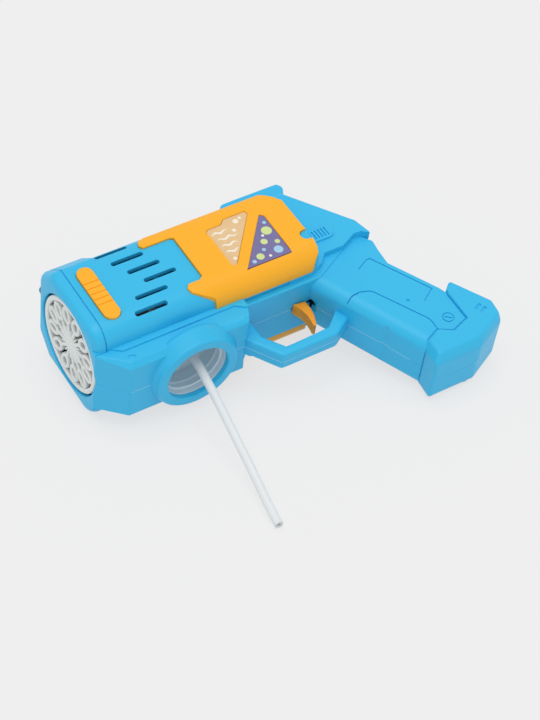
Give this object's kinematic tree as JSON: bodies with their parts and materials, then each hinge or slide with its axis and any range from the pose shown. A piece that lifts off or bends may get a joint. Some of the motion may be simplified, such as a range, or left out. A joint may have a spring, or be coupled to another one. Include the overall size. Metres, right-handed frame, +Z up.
{
  "type": "bubble blower",
  "caption": "Battery bubble gun with a spinning flower-shaped wand disc in the muzzle, a threaded bottle socket under the chin and a trigger that runs its fan and pump.",
  "frame": {"origin": "middle of the footprint, on the table that the gun lies on", "axes": "+X from the muzzle back along the barrel, +Z up from the table on the gun's left side, +Y towards the gun's top, which is tilted up a little because it rests on its right cover and the boot's edge"},
  "size_m": [0.1696, 0.1505, 0.0608],
  "materials": {
    "shell": "satin",
    "cover": "satin",
    "trigger": "satin",
    "front_window": "gloss",
    "rear_window": "gloss",
    "sight": "satin",
    "wand": "matte",
    "socket": "satin",
    "tube": "satin",
    "inner_plastic": "matte",
    "gear": "matte",
    "steel": "satin",
    "brass": "satin",
    "switch": "matte",
    "cell": "satin"
  },
  "bodies": {
    "housing": {"left_shell": "shell", "right_shell": "shell", "left_cover": "cover", "right_cover": "cover", "left_front_window": "front_window", "left_rear_window": "rear_window", "right_front_window": "front_window", "right_rear_window": "rear_window", "left_bar": "cover", "right_bar": "cover", "front_sight": "sight", "air_duct": "inner_plastic", "drip_tray": "inner_plastic", "fan_housing": "inner_plastic", "motor": "steel", "gear_frame": "inner_plastic", "idler_axle": "steel", "pump_housing": "inner_plastic", "pump_hose": "tube", "bottle_socket": "socket", "bottle_tube": "tube", "trigger_pin": "steel", "trigger_spring": "steel", "switch": "switch", "light_board": "switch", "cell_a": "cell", "cell_b": "cell", "cell_c": "cell", "cell_d": "cell", "contact_plate": "brass", "contact_springs": "steel", "shell_screws": "steel"},
    "wand": {"wand_disc": "wand", "wand_shaft": "steel", "wand_gear": "gear"},
    "layshaft": {"layshaft": "steel", "lay_pinion": "gear", "lay_gear": "gear", "pump_rotor": "inner_plastic"},
    "idler": {"idler_gear": "gear"},
    "motor_rotor": {"motor_shaft": "steel", "motor_pinion": "brass", "fan": "inner_plastic"},
    "trigger": {"trigger": "trigger"},
    "switch_button": {"switch_button": "switch"},
    "battery_door": {"battery_door": "shell", "door_screw": "steel"}
  },
  "joints": [
    {"name": "wand_spin", "type": "hinge", "parent": "housing", "child": "wand", "pos_m": [-0.07677, 0.02559, 0.03039], "axis": [1, 0, 0], "continuous": true},
    {"name": "layshaft_spin", "type": "hinge", "parent": "housing", "child": "layshaft", "pos_m": [-0.07677, 0.03038, 0.04397], "axis": [1, 0, 0], "continuous": true},
    {"name": "idler_spin", "type": "hinge", "parent": "housing", "child": "idler", "pos_m": [-0.01877, 0.03446, 0.03016], "axis": [1, 0, 0], "continuous": true},
    {"name": "motor_spin", "type": "hinge", "parent": "housing", "child": "motor_rotor", "pos_m": [-0.01977, 0.02068, 0.02947], "axis": [1, 0, 0], "continuous": true},
    {"name": "trigger_pull", "type": "hinge", "parent": "housing", "child": "trigger", "pos_m": [0.01273, 0.01773, 0.02892], "axis": [0, -0.1836, 0.983], "range_deg": [0, 8], "stiffness_Nm_per_rad": 0.25, "springref_deg": -5.73, "deforming": ["trigger_spring"]},
    {"name": "button_press", "type": "slide", "parent": "housing", "child": "switch_button", "axis": [1, 0, 0], "range_m": [0, 0.0009]},
    {"name": "door_lift", "type": "slide", "parent": "housing", "child": "battery_door", "axis": [0, 0.1836, -0.983], "range_m": [0, 0.006]}
  ],
  "couplings": [
    {"joint": "idler_spin", "follows": "motor_spin", "ratio": -0.27778},
    {"joint": "layshaft_spin", "follows": "motor_spin", "ratio": 0.092593},
    {"joint": "wand_spin", "follows": "motor_spin", "ratio": -0.030864},
    {"joint": "button_press", "follows": "trigger_pull", "m_per_rad": 0.006}
  ]
}
